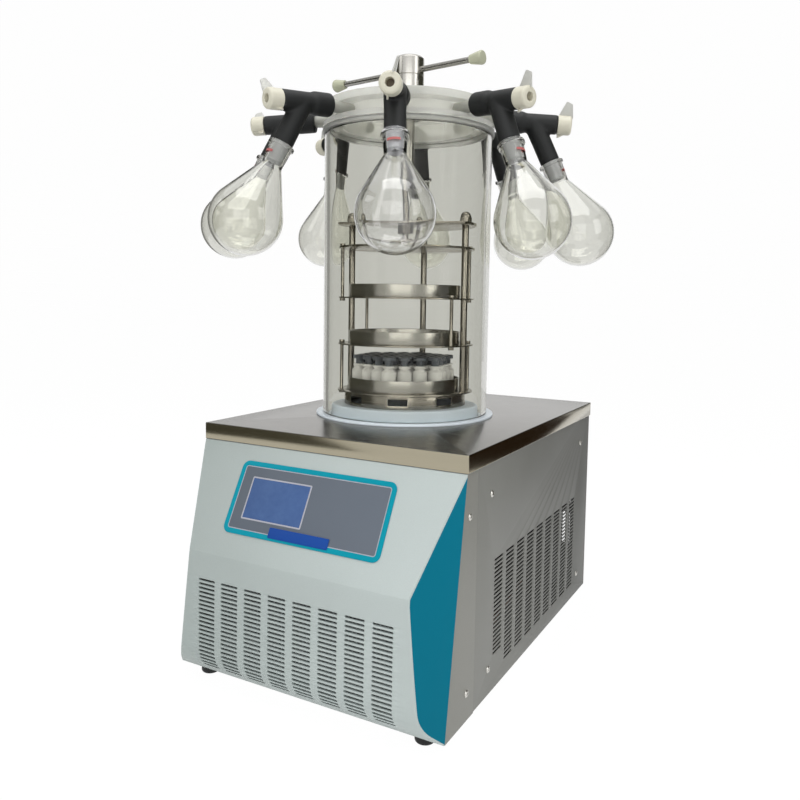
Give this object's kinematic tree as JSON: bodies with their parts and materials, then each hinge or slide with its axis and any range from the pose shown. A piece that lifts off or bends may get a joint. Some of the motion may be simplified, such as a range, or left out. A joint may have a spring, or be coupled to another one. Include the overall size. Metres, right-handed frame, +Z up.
{
  "type": "freeze dryer",
  "caption": "Bench freeze dryer: vented steel cabinet with sloped control panel, clear drum with flasks on rubber valves around its lid, and a shelf rack pressed down by a T-bar screw",
  "frame": {"origin": "on the floor, on the drum's axis", "axes": "+X to the right along the front, +Y from the front to the back, +Z up"},
  "size_m": [0.5675, 0.6142, 0.867],
  "materials": {
    "bright_steel": "turned and ground stainless steel",
    "plated_sheet": "zinc-plated steel sheet",
    "screw_zinc": "zinc-plated",
    "grey_paint": "fine powder coat",
    "pale_paint": "fine powder coat",
    "teal_trim": "smooth satin paint",
    "border_teal": "printed border, satin",
    "membrane_grey": "fine-grained membrane",
    "screen_blue": "glossy screen",
    "strip_blue": "satin strip, bare",
    "black_rubber": "moulded rubber",
    "white_plastic": "smooth",
    "foam": "closed-cell foam",
    "copper": "drawn copper",
    "dark_enamel": "gloss enamel",
    "fin_aluminium": "thin fins",
    "black_plastic": "moulded",
    "board_green": "lacquered board",
    "switch_red": "moulded",
    "brass": "turned",
    "acrylic": "clear, polished",
    "ivory_plastic": "moulded, glossy",
    "flask_glass": "clear borosilicate",
    "vial_glass": "clear tubing glass",
    "stopper_rubber": "moulded butyl rubber"
  },
  "bodies": {
    "root": {"base_pan": "plated_sheet", "feet": "black_rubber", "side_panel_right": "grey_paint", "side_panel_left": "grey_paint", "back_panel": "plated_sheet", "panel_screws": "screw_zinc", "front_bezel": "pale_paint", "side_trims": "teal_trim", "panel_frame": "border_teal", "panel_face": "membrane_grey", "display": "screen_blue", "label_plate": "strip_blue", "top_plate": "bright_steel", "cold_trap": "bright_steel", "trap_collar": "white_plastic", "trap_insulation": "foam", "evaporator_coil": "copper", "compressor": "dark_enamel", "condenser": "fin_aluminium", "fan_motor": "dark_enamel", "refrigerant_lines": "copper", "control_board": "board_green", "power_inlet": "black_plastic", "vacuum_port": "bright_steel", "drain_valve": "brass", "base_gasket": "white_plastic", "drum": "acrylic", "lid_gasket": "white_plastic", "lid": "acrylic", "port_nipples": "white_plastic", "press_boss": "bright_steel", "rack_base": "bright_steel", "rack_posts": "bright_steel", "rack_top": "bright_steel", "shelf_3": "bright_steel", "tray_3": "bright_steel", "vials": "vial_glass", "valve_bodies": "black_rubber", "flasks": "flask_glass"},
    "drive": {"drive_head": "bright_steel", "drive_bar": "bright_steel", "bar_knobs": "ivory_plastic"},
    "press": {"press_plate": "bright_steel"},
    "screw": {"press_screw": "bright_steel"},
    "upper_shelf": {"shelf_1": "bright_steel", "tray_1": "bright_steel"},
    "middle_shelf": {"shelf_2": "bright_steel", "tray_2": "bright_steel"},
    "stopper_set": {"stoppers": "stopper_rubber"},
    "fan": {"fan_blades": "black_plastic"},
    "rocker": {"power_switch": "switch_red"},
    "tap": {"drain_lever": "switch_red"},
    "cap_1": {"valve_cap_1": "ivory_plastic"},
    "cap_2": {"valve_cap_2": "ivory_plastic"},
    "cap_3": {"valve_cap_3": "ivory_plastic"},
    "cap_4": {"valve_cap_4": "ivory_plastic"},
    "cap_5": {"valve_cap_5": "ivory_plastic"},
    "cap_6": {"valve_cap_6": "ivory_plastic"},
    "cap_7": {"valve_cap_7": "ivory_plastic"},
    "cap_8": {"valve_cap_8": "ivory_plastic"}
  },
  "joints": [
    {"name": "drive_turn", "type": "hinge", "parent": "root", "child": "drive", "pos_m": [0, 0, 0.8], "axis": [0, 0, -1], "range_deg": [0, 7920]},
    {"name": "press_slide", "type": "slide", "parent": "root", "child": "press", "axis": [0, 0, -1], "range_m": [0, 0.066]},
    {"name": "screw_turn", "type": "hinge", "parent": "press", "child": "screw", "pos_m": [0, 0, 0.6], "axis": [0, 0, -1], "range_deg": [0, 7920]},
    {"name": "upper_shelf_slide", "type": "slide", "parent": "root", "child": "upper_shelf", "axis": [0, 0, -1], "range_m": [0, 0.044]},
    {"name": "middle_shelf_slide", "type": "slide", "parent": "root", "child": "middle_shelf", "axis": [0, 0, -1], "range_m": [0, 0.022]},
    {"name": "stopper_slide", "type": "slide", "parent": "root", "child": "stopper_set", "axis": [0, 0, -1], "range_m": [0, 0.007]},
    {"name": "cap_1_turn", "type": "hinge", "parent": "root", "child": "cap_1", "pos_m": [0.07937, -0.18342, 0.76945], "axis": [0.3962, -0.9155, -0.0698], "range_deg": [-3, 177]},
    {"name": "cap_2_turn", "type": "hinge", "parent": "root", "child": "cap_2", "pos_m": [0.18582, -0.07357, 0.76945], "axis": [0.9275, -0.3672, -0.0698], "range_deg": [-20, 160]},
    {"name": "cap_3_turn", "type": "hinge", "parent": "root", "child": "cap_3", "pos_m": [0.18342, 0.07937, 0.76945], "axis": [0.9155, 0.3962, -0.0698], "range_deg": [-32, 148]},
    {"name": "cap_4_turn", "type": "hinge", "parent": "root", "child": "cap_4", "pos_m": [0.07357, 0.18582, 0.76945], "axis": [0.3672, 0.9275, -0.0698], "range_deg": [-12, 168]},
    {"name": "cap_5_turn", "type": "hinge", "parent": "root", "child": "cap_5", "pos_m": [-0.07937, 0.18342, 0.76945], "axis": [-0.3962, 0.9155, -0.0698], "range_deg": [-40, 140]},
    {"name": "cap_6_turn", "type": "hinge", "parent": "root", "child": "cap_6", "pos_m": [-0.18582, 0.07357, 0.76945], "axis": [-0.9275, 0.3672, -0.0698], "range_deg": [-25, 155]},
    {"name": "cap_7_turn", "type": "hinge", "parent": "root", "child": "cap_7", "pos_m": [-0.18342, -0.07937, 0.76945], "axis": [-0.9155, -0.3962, -0.0698], "range_deg": [-60, 120]},
    {"name": "cap_8_turn", "type": "hinge", "parent": "root", "child": "cap_8", "pos_m": [-0.07357, -0.18582, 0.76945], "axis": [-0.3672, -0.9275, -0.0698], "range_deg": [-50, 130]},
    {"name": "fan_spin", "type": "hinge", "parent": "root", "child": "fan", "pos_m": [0.015, -0.2202, 0.092], "axis": [0, 1, 0], "continuous": true},
    {"name": "switch_rock", "type": "hinge", "parent": "root", "child": "rocker", "pos_m": [-0.1025, 0.2722, 0.06], "axis": [1, 0, 0], "range_deg": [-8, 8]},
    {"name": "drain_turn", "type": "hinge", "parent": "root", "child": "tap", "pos_m": [-0.055, 0.2812, 0.144], "axis": [0, 0, 1], "range_deg": [0, 90]}
  ],
  "couplings": [
    {"joint": "press_slide", "follows": "drive_turn", "m_per_rad": 0.00047746},
    {"joint": "screw_turn", "follows": "drive_turn", "ratio": 1},
    {"joint": "upper_shelf_slide", "follows": "drive_turn", "m_per_rad": 0.0003183},
    {"joint": "middle_shelf_slide", "follows": "drive_turn", "m_per_rad": 0.00015915},
    {"joint": "stopper_slide", "follows": "drive_turn", "m_per_rad": 0.00005064}
  ]
}
